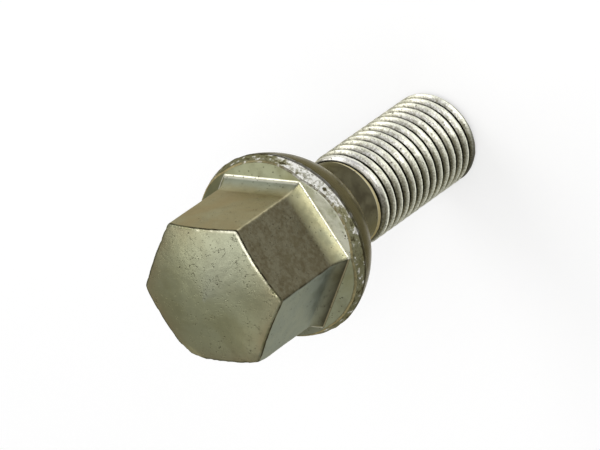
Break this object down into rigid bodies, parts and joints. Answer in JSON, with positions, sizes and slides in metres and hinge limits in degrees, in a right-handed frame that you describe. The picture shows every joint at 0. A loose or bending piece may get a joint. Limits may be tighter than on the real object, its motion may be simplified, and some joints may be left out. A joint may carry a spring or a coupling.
{
  "type": "wheel bolt",
  "caption": "One-piece wheel bolt with a flared hexagon head, round collar, ball seat and fine right-hand metric thread.",
  "frame": {"origin": "centre of the flat end face of the thread, which the bolt stands on", "axes": "+Z along the bolt's axis from the thread end to the head, +X through a corner of the hexagon"},
  "size_m": [0.0234, 0.0234, 0.0509],
  "materials": {
    "plated_steel": "satin zinc-nickel plating, slightly olive, with a mottled forged surface"
  },
  "bodies": {
    "root": {"wheel_bolt": "plated_steel"}
  },
  "joints": []
}
